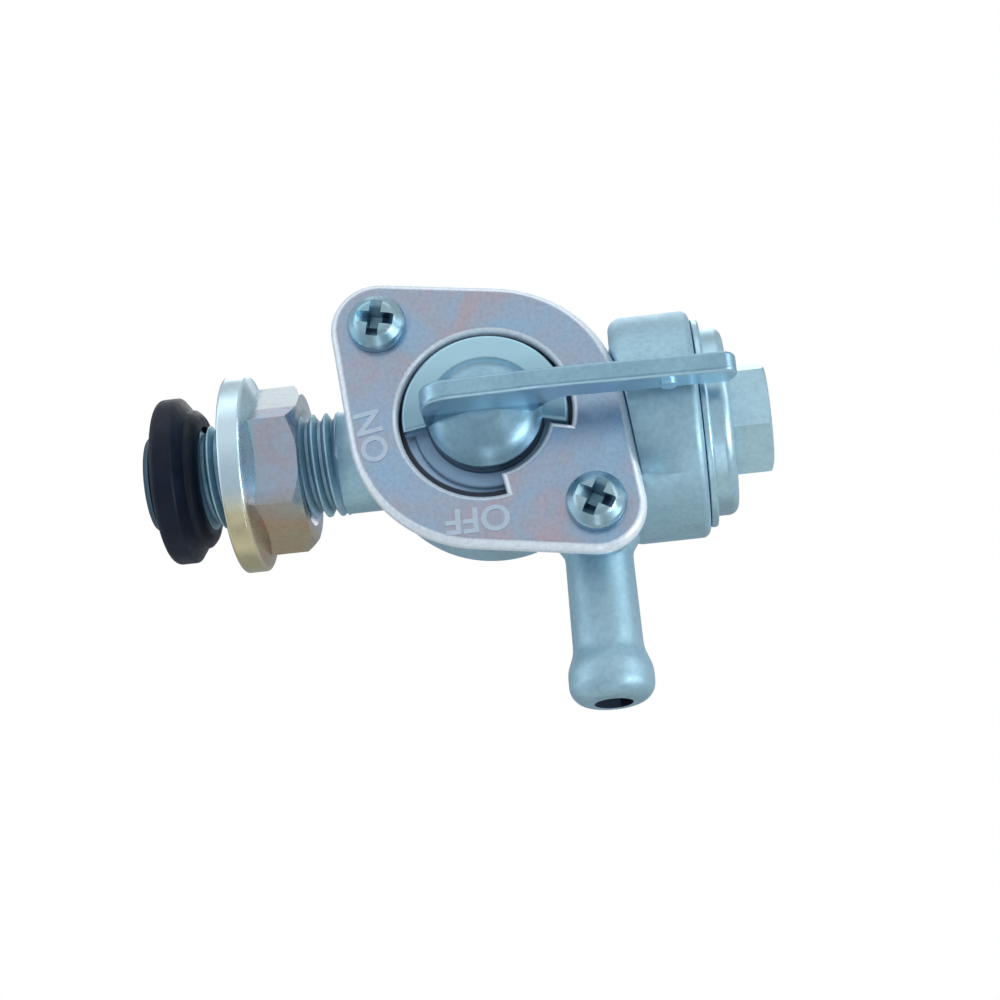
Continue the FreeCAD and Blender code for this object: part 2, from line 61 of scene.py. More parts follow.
# One turn of the thread, as shares of the pitch and of the depth
THREAD_PROFILE = [
    (0.0, 0.0),
    (0.12, 0.0),
    (0.28, 0.5),
    (0.44, 1.0),
    (0.56, 1.0),
    (0.68, 1.0),
    (0.84, 0.5),
]

# Lettering on the cover plate, its weight and block in shares of the type size
LETTER_HEIGHT = 2.5 * MM
LETTER_RISE = 0.07 * MM
LETTER_SINK = 0.05 * MM
LETTER_WEIGHT = 0.02
LETTER_BLOCK = 0.05
LETTER_CURVE_STEPS = 6
LETTER_SMOOTH_DEG = 35.0

# Each word: name, text, centre in mm from the lever axis, turn in degrees, stretch along the line
LETTERS = [
    ("letters_on", "ON", (-1.15, 10.55), 10.0, 0.98),
    ("letters_off", "OFF", (-10.3, 1.4), 90.0, 1.0),
]

# Camera, solved from the photograph for a frame of 1000 x 1000
CAMERA_FOCAL_PX = 2050.0
CAMERA_FRAME_PX = 1000.0
CAMERA_SENSOR_MM = 36.0
CAMERA_AIM = Vector((-5.449, 0.0, -31.855)) * MM
CAMERA_DISTANCE = 193.98 * MM
CAMERA_RIGHT = Vector((-0.0796, 0.1004, -0.9918))
CAMERA_DOWN = Vector((-0.9365, 0.3333, 0.1089))
CAMERA_NEAR = 0.01
CAMERA_FAR = 10.0

# Floor, in metres
FLOOR_Z = -0.26
FLOOR_RADIUS = 0.42
FLOOR_SEGMENTS = 96
FLOOR_GREYS = ((0.84, 0.84, 0.84), (0.80, 0.80, 0.80))

# Room that the metal reflects, from below to above and from behind to the front
ROOM_STRENGTH = 1.6
ROOM_BY_HEIGHT = [
    (0.0, (0.50, 0.51, 0.49)),
    (0.25, (0.60, 0.65, 0.69)),
    (0.5, (0.70, 0.75, 0.80)),
    (0.85, (0.90, 0.93, 0.94)),
]
ROOM_BY_DEPTH = [
    (0.0, (0.34, 0.34, 0.34)),
    (0.32, (0.44, 0.44, 0.44)),
    (0.48, (1.0, 1.0, 1.0)),
    (0.68, (0.5, 0.5, 0.5)),
    (0.88, (0.56, 0.56, 0.56)),
    (1.0, (0.42, 0.42, 0.42)),
]

# Each light: name, direction as the camera's right, up and back, distance, size, brightness, colour
LIGHTS = [
    ("key", (-1.2, 0.3, 0.3), 0.5, (0.26, 0.26), 0.5, (0.92, 0.97, 1.0)),
    ("strip", (0.77, 0.54, 0.33), 0.22, (0.06, 0.15), 1.7, (0.95, 0.99, 1.0)),
    ("side", (0.9, -0.12, 0.7), 0.24, (0.1, 0.13), 4.5, (0.95, 0.99, 1.0)),
    ("low", (0.0, -0.8, 0.8), 0.5, (0.35, 0.08), 1.6, (0.94, 0.98, 1.0)),
    ("rear", (0.0, 0.5, -1.0), 0.6, (0.3, 0.3), 1.5, (1.0, 1.0, 1.0)),
]

# Pairs of colours that each finish wanders between
BODY_ZINC = ((0.46, 0.68, 0.80), (0.38, 0.58, 0.69))
# The lever's pair is darker than the body's: painted shade on the hub's dome under the blade, lifted again on the
# blade by its painted light
LEVER_ZINC = ((0.30, 0.49, 0.61), (0.245, 0.41, 0.52))
BOWL_ZINC = ((0.52, 0.76, 0.88), (0.44, 0.66, 0.78))
LETTER_STEEL = ((0.54, 0.68, 0.82), (0.58, 0.66, 0.80))
SCREW_STEEL = ((0.30, 0.53, 0.65), (0.37, 0.52, 0.60))
NUT_STEEL = ((0.46, 0.57, 0.71), (0.52, 0.52, 0.60))
SPRING_STEEL = ((0.6, 0.6, 0.6), (0.62, 0.6, 0.56))
SEAL_RUBBER = ((0.002, 0.007, 0.019), (0.004, 0.012, 0.030))
VALVE_RUBBER = ((0.015, 0.015, 0.015), (0.03, 0.03, 0.03))
NYLON = ((0.80, 0.78, 0.70), (0.70, 0.68, 0.60))
BRASS = ((0.78, 0.62, 0.30), (0.62, 0.46, 0.18))

# Plate's bloom, from blue through violet to pink
PLATE_BLOOM = [
    (0.34, (0.37, 0.54, 0.73)),
    (0.5, (0.42, 0.51, 0.65)),
    (0.66, (0.51, 0.46, 0.54)),
]

# Tints that stand in place of a finish's own colours: the core's and the nut cone's are tones, the rest painted
# light, highlight and shade
# Painted highlight on the plate's rims
PAINTED_RIM_HIGHLIGHT = (0.84, 0.92, 1.0)
CORE = (0.25, 0.39, 0.56)
# Painted light on the foot round the core, which lies in shade
CORE_FOOT_PAINTED_LIGHT = (0.46, 0.66, 0.88)
# Painted shade and painted light across the collar's face
COLLAR_PAINTED_SHADE = (0.27, 0.45, 0.56)
COLLAR_PAINTED_LIGHT = (0.45, 0.71, 0.83)
# Painted light on the blade's -X side, which faces down
BLADE_SIDE_PAINTED_LIGHT = (0.52, 0.76, 0.91)
# Painted light on the nut's +X facets
NUT_TOP_PAINTED_LIGHT = (0.68, 0.75, 0.81)
NUT_CONE = (0.40, 0.57, 0.64)
# Painted highlight on the nut flange's rim
NUT_RIM_PAINTED_HIGHLIGHT = (0.66, 0.84, 0.94)

# Factors that a finish's own colours are multiplied by: besides white, painted shade and painted light
WHITE = (1.0, 1.0, 1.0)
# Painted shade, near black, in bores, recesses, gaps and the plate's opening
PAINTED_BLACK_SHADE = (0.07, 0.07, 0.09)
# Painted shade in the screws' cross recesses
PAINTED_RECESS_SHADE = (0.36, 0.40, 0.45)
# Painted shade in the thread's grooves
PAINTED_GROOVE_SHADE = (0.58, 0.62, 0.66)
# Painted deep shade on the stem's end and the hub's wall
PAINTED_DEEP_SHADE = (0.20, 0.23, 0.26)
# Painted warm reflection on the nut's -X side
PAINTED_WARM_REFLECTION = (1.0, 0.72, 0.43)
# Painted light that lifts the blade above the painted shade of the lever's darker zinc
PAINTED_BLADE_LIGHT = (1.18, 1.17, 1.16)
DULL_METALLIC = 0.3

# Where painted shade begins and ends on the body, in mm
BARB_BORE_R = (1.76, 1.84)
BARB_BORE_X = (-12.0, -11.0)
STEM_BORE_R = (3.01, 3.09)
GROOVE_OFF_CREST = (-0.6, -0.1)
GROOVE_OFF_NUT = (-3.6, -3.2)
STEM_END_OFF_TIP = (-1.3, -1.1)
RECESS_R = (9.7, 9.9)
RECESS_Y = (-2.9, -2.6)

# Where tints begin and end on the lever, in mm: the core's own tone, and painted light and shade, whose ring round
# the foot is off the lever axis
CORE_Y = (-8.5, -8.0)
COLLAR_R = (5.42, 5.5)
COLLAR_FACE_Y = (-9.4, -9.2)
COLLAR_EDGE_Y = (-8.95, -8.6)
COLLAR_X = (0.5, 5.5)
HUB_WALL_R = (5.44, 5.52)
HUB_WALL_Y = (-8.95, -8.7)
BLADE_Y = (-12.2, -11.5)
BLADE_SIDE_X = (-0.93, -0.8)
FOOT_Y = (-7.2, -7.0)
FOOT_R = (7.45, 7.6)
# Offset of the ring of painted shadow from the lever axis
FOOT_SHIFT = Vector((0.55, 0, 0.2))

# Where painted highlight and painted shade begin and end on the plate and the screws, where depths are from the
# face
RIM_OFF_FACE = (0.003, 0.04)
OPENING_R = (8.1, 8.2)
OPENING_OFF_FACE = (0.7, 0.95)
SCREW_RECESS_R = (1.95, 2.05)
SCREW_RECESS_OFF_CROWN = (0.45, 0.75)

# The same on the nut
NUT_GREY_X = (3.9, 4.15)
NUT_CONE_X = (-5.6, -3.6)
NUT_CONE_OFF_TOP = (-3.4, -2.9)
NUT_RIM_R = (9.0, 9.3)
NUT_TAN_X = (-6.6, -4.2)

# Scale of the gauze's wave texture, which gives a wire about every 0.19 mm
GAUZE_SCALE = 1.0 / (0.6 * MM)

# Lengths under which points count as the same, and the angle at the thread's seam
CLOSE = 0.002 * MM
MERGE = 0.0001 * MM
SEAM_SLACK = 0.0001


def mount(name):
    return next(m for m in frame["record"]["mounts"] if m["name"] == name)


def joint(name):
    return next(j for j in frame["joints"] if j["name"] == name)


lever_z = joint("lever_turn")["pos_m"][2]
lever_axis_mm = Vector((0, 0, lever_z / MM))
barb_axis_mm = Vector((0, 0, mount("hose_barb")["pos_m"][2] / MM))
stem_axis_mm = Vector((0, 0, 0))
thread_r = mount("inlet_thread")["dims"]["r_mm"] * MM


def rgba(colour):
    return (*colour, 1.0)


def live(sockets, name):
    """The socket of that name that is in use."""
    return next(s for s in sockets if s.name == name and s.enabled)


class Nodes:
    """A node tree under construction."""

    def __init__(self, tree):
        self.nodes = tree.nodes
        self.links = tree.links
        self.nodes.clear()

    def new(self, kind, **values):
        """A node with its inputs set, with an underscore for each space in an input's name."""
        node = self.nodes.new(kind)
        for name, value in values.items():
            node.inputs[name.replace("_", " ")].default_value = value
        return node

    def link(self, source, target):
        self.links.new(source, target)

    def ramp(self, source, stops):
        """Colours at positions from 0 to 1."""
        node = self.new("ShaderNodeValToRGB")
        points = node.color_ramp.elements
        while len(points) < len(stops):
            points.new(0.5)
        for point, (position, colour) in zip(points, stops):
            point.position = position
            point.color = rgba(colour)
        self.link(source, node.inputs["Fac"])
        return node.outputs["Color"]

    def span(self, source, low, high, source_low=0.3, source_high=0.7):
        """The source's range moved to low and high."""
        node = self.new("ShaderNodeMapRange", To_Min=low, To_Max=high)
        node.inputs["From Min"].default_value = source_low
        node.inputs["From Max"].default_value = source_high
        self.link(source, node.inputs["Value"])
        return node.outputs["Result"]

    def vector(self, operation, source, constant=None):
        """A vector operation on a source, with a constant where it takes one."""
        node = self.new("ShaderNodeVectorMath")
        node.operation = operation
        self.link(source, node.inputs[0])
        if constant is not None:
            node.inputs[1].default_value = constant
        return node.outputs

    def mix(self, amount, one, other, blend="MIX"):
        """Two colours mixed by an amount from 0 to 1, each a socket or a constant."""
        node = self.new("ShaderNodeMix")
        node.data_type = "RGBA"
        node.blend_type = blend
        for value, name in ((amount, "Factor"), (one, "A"), (other, "B")):
            target = live(node.inputs, name)
            if isinstance(value, bpy.types.NodeSocket):
                self.link(value, target)
            else:
                target.default_value = rgba(value) if isinstance(value, tuple) else value
        return live(node.outputs, "Result")


class Finish(Nodes):
    """A material under construction, in the object's own metres."""

    def __init__(self, name, **values):
        self.material = bpy.data.materials.new(name)
        self.material.use_nodes = True
        super().__init__(self.material.node_tree)
        self.shader = self.new("ShaderNodeBsdfPrincipled", **values)
        output = self.new("ShaderNodeOutputMaterial")
        self.link(self.shader.outputs["BSDF"], output.inputs["Surface"])
        self.place = self.new("ShaderNodeTexCoord").outputs["Object"]

    def stretched(self, scale):
        """The object's coordinates times a scale along each axis."""
        mapping = self.new("ShaderNodeMapping", Scale=scale)
        self.link(self.place, mapping.inputs["Vector"])
        return mapping.outputs["Vector"]

    def noise(self, size_mm, detail=3.0, vector=None, distortion=0.0):
        """Noise with features of about that size."""
        node = self.new("ShaderNodeTexNoise", Detail=detail, Roughness=0.55, Distortion=distortion)
        node.inputs["Scale"].default_value = 1.0 / (size_mm * MM)
        self.link(vector or self.place, node.inputs["Vector"])
        return node.outputs["Fac"]

    def coordinate(self, axis):
        """The object's own X, Y or Z."""
        node = self.new("ShaderNodeSeparateXYZ")
        self.link(self.place, node.inputs["Vector"])
        return node.outputs[axis]

    def off_line(self, point_mm, along):
        """Distance from the line through a point along X, Y or Z."""
        across = [0.0 if axis == along else 1.0 for axis in "XYZ"]
        shifted = self.vector("SUBTRACT", self.place, point_mm * MM)["Vector"]
        flat = self.vector("MULTIPLY", shifted, across)["Vector"]
        return self.vector("LENGTH", flat)["Value"]

    def rise(self, source, ends_mm, base=0.0):
        """0 to 1 between two places in mm from a base in metres."""
        return self.span(source, 0.0, 1.0, base + ends_mm[0] * MM, base + ends_mm[1] * MM)

    def fall(self, source, ends_mm, base=0.0):
        """1 to 0 between two places in mm from a base in metres."""
        return self.span(source, 1.0, 0.0, base + ends_mm[0] * MM, base + ends_mm[1] * MM)

    def times(self, first, *others):
        """Product of amounts."""
        for other in others:
            node = self.new("ShaderNodeMath")
            node.operation = "MULTIPLY"
            self.link(first, node.inputs[0])
            self.link(other, node.inputs[1])
            first = node.outputs["Value"]
        return first

    def overlaid(self, tint, amount, overlay):
        """The tint, multiplied by a colour where the amount is 1; here such colours paint light and shade."""
        return self.mix(amount, tint, self.mix(1.0, tint, overlay, "MULTIPLY"))

    def specked(self, tint, size_mm, detail, ends, speck):
        """The tint, multiplied by a speck where noise of that size is low."""
        specks = self.ramp(self.noise(size_mm, detail=detail), [(ends[0], speck), (ends[1], WHITE)])
        return self.mix(1.0, tint, specks, "MULTIPLY")

    def coat(self, tint, patch_mm, rough):
        """Sets the colour, and a roughness that wanders between two values."""
        self.link(tint, self.shader.inputs["Base Color"])
        self.link(self.span(self.noise(patch_mm), *rough), self.shader.inputs["Roughness"])

    def dull(self, amount):
        """Sets a metallic share that is lower where the amount is 1."""
        self.link(self.span(amount, 1.0, DULL_METALLIC, 0.0, 1.0), self.shader.inputs["Metallic"])

    def bump(self, *heights):
        """Stacks bumps of (source, strength, height in mm) on the shader's normal."""
        normal = None
        for source, strength, height_mm in heights:
            node = self.new("ShaderNodeBump", Strength=strength, Distance=height_mm * MM)
            self.link(source, node.inputs["Height"])
            if normal is not None:
                self.link(normal, node.inputs["Normal"])
            normal = node.outputs["Normal"]
        self.link(normal, self.shader.inputs["Normal"])


def cast_zinc(name, colours, rough, overlays=()):
    """Die-cast zinc: soft mottling, fine skin and shallow waves."""
    finish = Finish(name, Metallic=1.0)
    light, dark = colours
    tint = finish.ramp(finish.noise(size_mm=7.0, detail=2.0), [(0.32, dark), (0.68, light)])
    tint = finish.specked(tint, size_mm=0.5, detail=4.0, ends=(0.3, 0.62), speck=(0.86, 0.87, 0.88))
    for overlay in overlays:
        tint = overlay(finish, tint)
    finish.coat(tint, patch_mm=1.6, rough=rough)
    skin = finish.noise(size_mm=0.22)
    waves = finish.noise(size_mm=1.4, detail=2.0)
    finish.bump((skin, 0.35, 0.012), (waves, 0.3, 0.03))
    return finish.material


def plated_plate(name):
    """Pressed and plated sheet: a blue to pink bloom, a painted highlight on its rims, painted shade in its
    opening.
    """
    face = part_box("cover_plate")[0].y
    finish = Finish(name)
    depth = finish.coordinate("Y")
    tint = finish.ramp(finish.noise(size_mm=6.0, detail=2.5, distortion=0.6), PLATE_BLOOM)
    # Painted highlight on the rims, less metallic
    painted_light = finish.rise(depth, RIM_OFF_FACE, face)
    finish.dull(painted_light)
    tint = finish.mix(painted_light, tint, PAINTED_RIM_HIGHLIGHT)
    tint = finish.specked(tint, size_mm=0.4, detail=3.0, ends=(0.3, 0.6), speck=(0.86, 0.86, 0.88))
    # Painted shade inside the opening
    inside = finish.fall(finish.off_line(lever_axis_mm, "Y"), OPENING_R)
    behind = finish.rise(depth, OPENING_OFF_FACE, face)
    tint = finish.overlaid(tint, finish.times(inside, behind), PAINTED_BLACK_SHADE)
    finish.coat(tint, patch_mm=2.2, rough=(0.26, 0.40))
    lines = finish.noise(size_mm=0.12, detail=2.0, vector=finish.stretched((1.0, 1.0, 0.06)))
    dents = finish.noise(size_mm=2.4, detail=2.0)
    finish.bump((lines, 0.18, 0.008), (dents, 0.25, 0.05))
    return finish.material


def bright_zinc(name, colours, rough, overlays=()):
    """Bright zinc plating with a cool and a warm bloom and fine tool marks."""
    finish = Finish(name, Metallic=1.0)
    cool, warm = colours
    tint = finish.ramp(finish.noise(size_mm=3.2, distortion=0.8), [(0.35, cool), (0.66, warm)])
    tint = finish.specked(tint, size_mm=0.5, detail=3.0, ends=(0.28, 0.6), speck=(0.90, 0.90, 0.91))
    for overlay in overlays:
        tint = overlay(finish, tint)
    finish.coat(tint, patch_mm=1.0, rough=rough)
    marks = finish.noise(size_mm=0.4, detail=2.0)
    waves = finish.noise(size_mm=1.8, detail=2.0)
    finish.bump((marks, 0.08, 0.01), (waves, 0.2, 0.03))
    return finish.material


def rubber(name, colours):
    """Moulded rubber with faint dust and a fine grain."""
    finish = Finish(name, Metallic=0.0, Specular_IOR_Level=0.23)
    clean, dusty = colours
    tint = finish.ramp(finish.noise(size_mm=2.0, detail=4.0), [(0.42, clean), (0.75, dusty)])
    finish.coat(tint, patch_mm=0.8, rough=(0.34, 0.5))
    finish.bump((finish.noise(size_mm=0.15), 0.3, 0.01))
    return finish.material


def moulded_nylon(name):
    """Off-white moulding with a faint grain."""
    finish = Finish(name, Metallic=0.0)
    light, dark = NYLON
    tint = finish.ramp(finish.noise(size_mm=3.0), [(0.3, dark), (0.7, light)])
    finish.coat(tint, patch_mm=0.6, rough=(0.4, 0.55))
    finish.bump((finish.noise(size_mm=0.2), 0.2, 0.01))
    return finish.material


def woven_gauze(name):
    """Brass gauze: two sets of fine wires, round the sleeve and along it."""
    finish = Finish(name, Metallic=1.0)
    light, dark = BRASS
    tint = finish.ramp(finish.noise(size_mm=0.5), [(0.3, dark), (0.7, light)])
    finish.coat(tint, patch_mm=0.4, rough=(0.3, 0.45))
    wires = []
    for direction in ("X", "Z"):
        wave = finish.new("ShaderNodeTexWave", Scale=GAUZE_SCALE)
        wave.bands_direction = direction
        finish.link(finish.place, wave.inputs["Vector"])
        wires.append((wave.outputs["Fac"], 0.6, 0.03))
    finish.bump(*wires)
    return finish.material


def barb_bore_painted_shade(finish, tint):
    """Painted shade in the barb's bore."""
    inside = finish.fall(finish.off_line(barb_axis_mm, "X"), BARB_BORE_R)
    past = finish.fall(finish.coordinate("X"), BARB_BORE_X)
    return finish.overlaid(tint, finish.times(inside, past), PAINTED_BLACK_SHADE)


def stem_bore_painted_shade(finish, tint):
    """Painted shade in the stem's bore."""
    return finish.overlaid(tint, finish.fall(finish.off_line(stem_axis_mm, "Z"), STEM_BORE_R), PAINTED_BLACK_SHADE)


def thread_painted_shade(finish, tint):
    """Painted shade in the thread's grooves and on the stem's end."""
    height = finish.coordinate("Z")
    deep = finish.fall(finish.off_line(stem_axis_mm, "Z"), GROOVE_OFF_CREST, thread_r)
    along = finish.rise(height, GROOVE_OFF_NUT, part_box("tank_nut")[0].z)
    tint = finish.overlaid(tint, finish.times(deep, along), PAINTED_GROOVE_SHADE)
    return finish.overlaid(tint, finish.rise(height, STEM_END_OFF_TIP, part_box("tap_body")[1].z), PAINTED_DEEP_SHADE)


def recess_painted_shade(finish, tint):
    """Painted shade in the housing's recess for the rotor."""
    inside = finish.fall(finish.off_line(lever_axis_mm, "Y"), RECESS_R)
    before = finish.fall(finish.coordinate("Y"), RECESS_Y)
    return finish.overlaid(tint, finish.times(inside, before), PAINTED_BLACK_SHADE)


def dull_core(finish, tint):
    """A darker blue-grey on the core, below the collar, which is also less metallic than the rest."""
    core = finish.rise(finish.coordinate("Y"), CORE_Y)
    finish.dull(core)
    return finish.mix(core, tint, CORE)


def foot_painted_light_and_shade(finish, tint):
    """Painted light on the foot round the core, which lies in shade, and painted shadow further out under the
    plate.
    """
    deep = finish.rise(finish.coordinate("Y"), FOOT_Y)
    tint = finish.mix(deep, tint, CORE_FOOT_PAINTED_LIGHT)
    outside = finish.rise(finish.off_line(lever_axis_mm + FOOT_SHIFT, "Y"), FOOT_R)
    return finish.overlaid(tint, finish.times(outside, deep), PAINTED_BLACK_SHADE)


def hub_wall_painted_shade(finish, tint):
    """Painted shade on the hub's wall, below its dome."""
    wall = finish.fall(finish.off_line(lever_axis_mm, "Y"), HUB_WALL_R)
    below = finish.rise(finish.coordinate("Y"), HUB_WALL_Y)
    return finish.overlaid(tint, finish.times(wall, below), PAINTED_DEEP_SHADE)


def collar_painted_light_and_shade(finish, tint):
    """Collar face paler than the hub, lighter towards +X and darker towards -X: painted light and painted shade.
    """
    depth = finish.coordinate("Y")
    outside = finish.rise(finish.off_line(lever_axis_mm, "Y"), COLLAR_R)
    face = finish.rise(depth, COLLAR_FACE_Y)
    edge = finish.fall(depth, COLLAR_EDGE_Y)
    painted_light = finish.mix(finish.rise(finish.coordinate("X"), COLLAR_X), COLLAR_PAINTED_SHADE, COLLAR_PAINTED_LIGHT)
    return finish.mix(finish.times(outside, face, edge), tint, painted_light)


def blade_painted_light(finish, tint):
    """Blade painted paler than the dome it shades, most of all on its -X side, which faces down: painted light."""
    proud = finish.fall(finish.coordinate("Y"), BLADE_Y)
    tint = finish.overlaid(tint, proud, PAINTED_BLADE_LIGHT)
    side = finish.fall(finish.coordinate("X"), BLADE_SIDE_X)
    return finish.mix(finish.times(side, proud), tint, BLADE_SIDE_PAINTED_LIGHT)


def screw_recess_painted_shade(name):
    """Painted shade in a screw's cross recess, below its crown."""
    low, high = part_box(name)
    axis_mm = (low + high) / 2 / MM

    def overlay(finish, tint):
        inside = finish.fall(finish.off_line(axis_mm, "Y"), SCREW_RECESS_R)
        below = finish.rise(finish.coordinate("Y"), SCREW_RECESS_OFF_CROWN, low.y)
        return finish.overlaid(tint, finish.times(inside, below), PAINTED_RECESS_SHADE)
    return overlay


def painted_light_on_facets(finish, tint):
    """Painted light, pale grey, on the nut's +X side."""
    return finish.mix(finish.rise(finish.coordinate("X"), NUT_GREY_X), tint, NUT_TOP_PAINTED_LIGHT)


def nut_cone_blue_and_rim_highlight(finish, tint):
    """Blue on the cone below the nut's flange, and a painted highlight, paler blue, on the flange's rim."""
    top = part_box("tank_nut")[1].z
    cone = finish.rise(finish.coordinate("Z"), NUT_CONE_OFF_TOP, top)
    upper = finish.rise(finish.coordinate("X"), NUT_CONE_X)
    tint = finish.mix(finish.times(cone, upper), tint, NUT_CONE)
    return finish.mix(finish.rise(finish.off_line(stem_axis_mm, "Z"), NUT_RIM_R), tint, NUT_RIM_PAINTED_HIGHLIGHT)


def warm_side_painted_reflection(finish, tint):
    """Painted warm reflection, tan, along the nut's -X side."""
    return finish.overlaid(tint, finish.fall(finish.coordinate("X"), NUT_TAN_X), PAINTED_WARM_REFLECTION)


def dress(piece, material):
    piece.data.materials.clear()
    piece.data.materials.append(material)


def new_piece(name, data):
    piece = bpy.data.objects.new(name, data)
    bpy.context.scene.collection.objects.link(piece)
    return piece


def smooth(mesh, angle_deg):
    """Smooth shading with edges over the angle kept sharp."""
    mesh.polygons.foreach_set("use_smooth", [True] * len(mesh.polygons))
    mesh.set_sharp_from_angle(angle=math.radians(angle_deg))


def rim_at(bm, z):
    """The open edges' vertices at a height with their angles about Z, in order of the angle."""
    found = {v for e in bm.edges if e.is_boundary for v in e.verts if abs(v.co.z - z) < CLOSE}
    turns = []
    for vert in found:
        angle = math.atan2(vert.co.y, vert.co.x)
        if angle < SEAM_SLACK - math.pi:
            angle += 2 * math.pi
        turns.append((angle, vert))
    return sorted(turns, key=lambda turn: turn[0])


def on_stem(vert):
    return abs(math.hypot(vert.co.x, vert.co.y) - thread_r) < CLOSE


def cut_thread(bm, low_rim, high_rim):
    """Faces of a right-handed thread between two rims with the same angles."""
    z_low = low_rim[0][1].co.z
    z_high = high_rim[0][1].co.z
    columns = len(low_rim)
    rows = len(THREAD_PROFILE)
    made = {}

    def point(column, row):
        """Vertex of the thread's grid, whose rows climb along the helix."""
        if column == columns:
            column, row = 0, row + rows
        angle = low_rim[column][0]
        turn, step = divmod(row, rows)
        phase, depth = THREAD_PROFILE[step]
        z = z_low + PITCH * (turn + phase - 1.0 + angle / (2 * math.pi))
        if z <= z_low:
            return low_rim[column][1]
        if z >= z_high:
            return high_rim[column][1]
        if (column, row) not in made:
            start = min(1.0, (z_high - z) / START_FADE)
            end = min(1.0, (z - z_low) / END_FADE)
            r = thread_r - THREAD_DEPTH * depth * start * end
            made[column, row] = bm.verts.new((r * math.cos(angle), r * math.sin(angle), z))
        return made[column, row]

    turns = math.ceil((z_high - z_low) / PITCH) + 3
    for column in range(columns):
        for row in range(-rows, turns * rows):
            steps = [(column, row), (column + 1, row), (column + 1, row + 1), (column, row + 1)]
            corners = [point(*step) for step in steps]
            corners = [v for i, v in enumerate(corners) if v is not corners[i - 1]]
            if len(set(corners)) >= 3:
                bm.faces.new(corners)


def threaded_body():
    """The body with its stem's plain wall exchanged for a thread."""
    bm = bmesh.new()
    bm.from_mesh(frame["nodes"]["tap_body"].data)
    bmesh.ops.remove_doubles(bm, verts=bm.verts, dist=MERGE)
    wall = [f for f in bm.faces if all(on_stem(v) for v in f.verts)]
    heights = [v.co.z for f in wall for v in f.verts]
    bmesh.ops.delete(bm, geom=wall, context="FACES")
    cut_thread(bm, rim_at(bm, min(heights)), rim_at(bm, max(heights)))
    bmesh.ops.recalc_face_normals(bm, faces=bm.faces)
    mesh = bpy.data.meshes.new("threaded_body")
    bm.to_mesh(mesh)
    bm.free()
    smooth(mesh, THREAD_SMOOTH_DEG)
    return new_piece("threaded_body", mesh)


def word_mesh(name, text):
    """A mesh of the text as a block, in type sizes."""
    curve = bpy.data.curves.new(name, "FONT")
    curve.body = text
    curve.align_x = "CENTER"
    curve.size = 1.0
    curve.offset = LETTER_WEIGHT
    curve.extrude = LETTER_BLOCK
    curve.resolution_u = LETTER_CURVE_STEPS
    draft = new_piece(name + "_draft", curve)
    bpy.context.view_layer.update()
    mesh = bpy.data.meshes.new_from_object(draft.evaluated_get(bpy.context.evaluated_depsgraph_get()))
    bpy.data.objects.remove(draft)
    mesh.name = name
    return mesh


def close_up(mesh):
    """Joins the mesh's double points and turns its faces outwards."""
    bm = bmesh.new()
    bm.from_mesh(mesh)
    bmesh.ops.remove_doubles(bm, verts=bm.verts, dist=MERGE)
    bmesh.ops.recalc_face_normals(bm, faces=bm.faces)
    bm.to_mesh(mesh)
    bm.free()


def letters(name, text, centre, turn_deg, width):
    """A word on the plate's face, sunk a little into it."""
    mesh = word_mesh(name, text)
    lows = [min(v.co[i] for v in mesh.vertices) for i in range(3)]
    highs = [max(v.co[i] for v in mesh.vertices) for i in range(3)]
    middle = [(low + high) / 2 for low, high in zip(lows, highs)]
    scale = LETTER_HEIGHT / (highs[1] - lows[1])
    depth = (LETTER_RISE + LETTER_SINK) / (highs[2] - lows[2])
    turn = math.radians(turn_deg)
    along = Vector((math.cos(turn), 0, math.sin(turn)))
    upward = Vector((-math.sin(turn), 0, math.cos(turn)))
    outward = Vector((0, -1, 0))
    face_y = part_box("cover_plate")[0].y
    base = Vector((centre[0] * MM, face_y + LETTER_SINK, lever_z + centre[1] * MM))
    for vert in mesh.vertices:
        u = (vert.co.x - middle[0]) * scale * width
        v = (vert.co.y - middle[1]) * scale
        w = (vert.co.z - lows[2]) * depth
        vert.co = base + along * u + upward * v + outward * w
    close_up(mesh)
    smooth(mesh, LETTER_SMOOTH_DEG)
    return new_piece(name, mesh)


def camera():
    """The photograph's camera. Gives its right, up and back directions."""
    data = bpy.data.cameras.new("photo_camera")
    data.sensor_width = CAMERA_SENSOR_MM
    data.lens = CAMERA_FOCAL_PX / CAMERA_FRAME_PX * CAMERA_SENSOR_MM
    data.clip_start = CAMERA_NEAR
    data.clip_end = CAMERA_FAR
    obj = new_piece("photo_camera", data)
    back = CAMERA_DOWN.cross(CAMERA_RIGHT).normalized()
    right = CAMERA_RIGHT.normalized()
    up = back.cross(right)
    place = CAMERA_AIM + back * CAMERA_DISTANCE
    obj.matrix_world = Matrix((
        (right.x, up.x, back.x, place.x),
        (right.y, up.y, back.y, place.y),
        (right.z, up.z, back.z, place.z),
        (0, 0, 0, 1),
    ))
    bpy.context.scene.camera = obj
    return right, up, back


def softbox(name, direction, distance, size, brightness, colour):
    """Area light of a surface brightness that looks at the object's middle."""
    data = bpy.data.lights.new(name, "AREA")
    data.shape = "RECTANGLE"
    data.size, data.size_y = size
    data.energy = brightness * math.pi * size[0] * size[1]
    data.color = colour
    light = new_piece(name, data)
    light.location = CAMERA_AIM + direction.normalized() * distance
    light.rotation_mode = "QUATERNION"
    light.rotation_quaternion = (CAMERA_AIM - light.location).to_track_quat("-Z", "Y")


